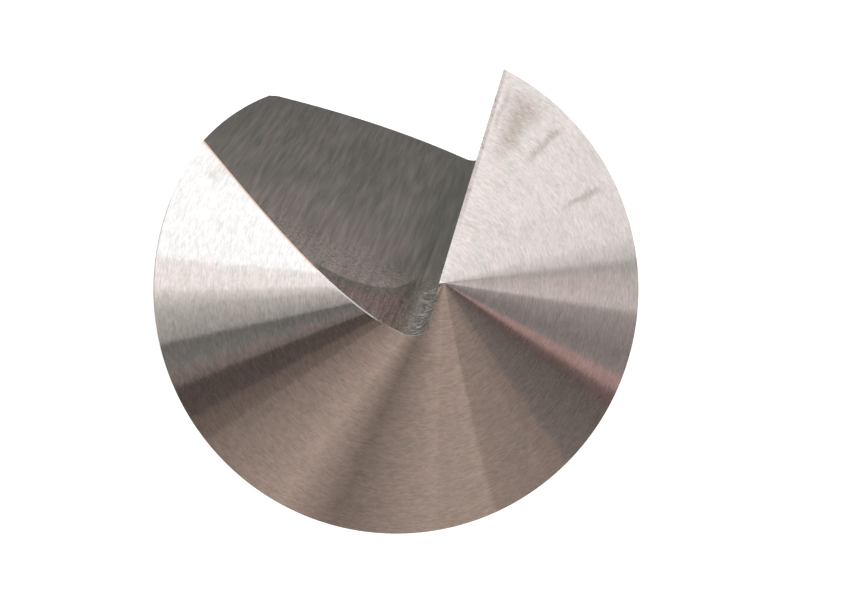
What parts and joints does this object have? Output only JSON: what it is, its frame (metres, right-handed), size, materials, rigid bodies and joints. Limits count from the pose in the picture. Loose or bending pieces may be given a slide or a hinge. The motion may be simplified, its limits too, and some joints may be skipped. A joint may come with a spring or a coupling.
{
  "type": "countersink bit",
  "caption": "Countersink bit with a 90 degree conical head, a skewed ground flute that leaves a hooked cutting lip, and a plain round shank for a drill chuck.",
  "frame": {"origin": "centre of the shank's end face", "axes": "+Z along the tool's axis from the shank end to the tip, +X along the cutting lip as seen from the tip"},
  "size_m": [0.0205, 0.0204, 0.063],
  "materials": {
    "ground_steel": "satin ground high speed steel, fine grinding lines round the cone and shank and along the flute"
  },
  "bodies": {
    "root": {"countersink_bit": "ground_steel"}
  },
  "joints": []
}
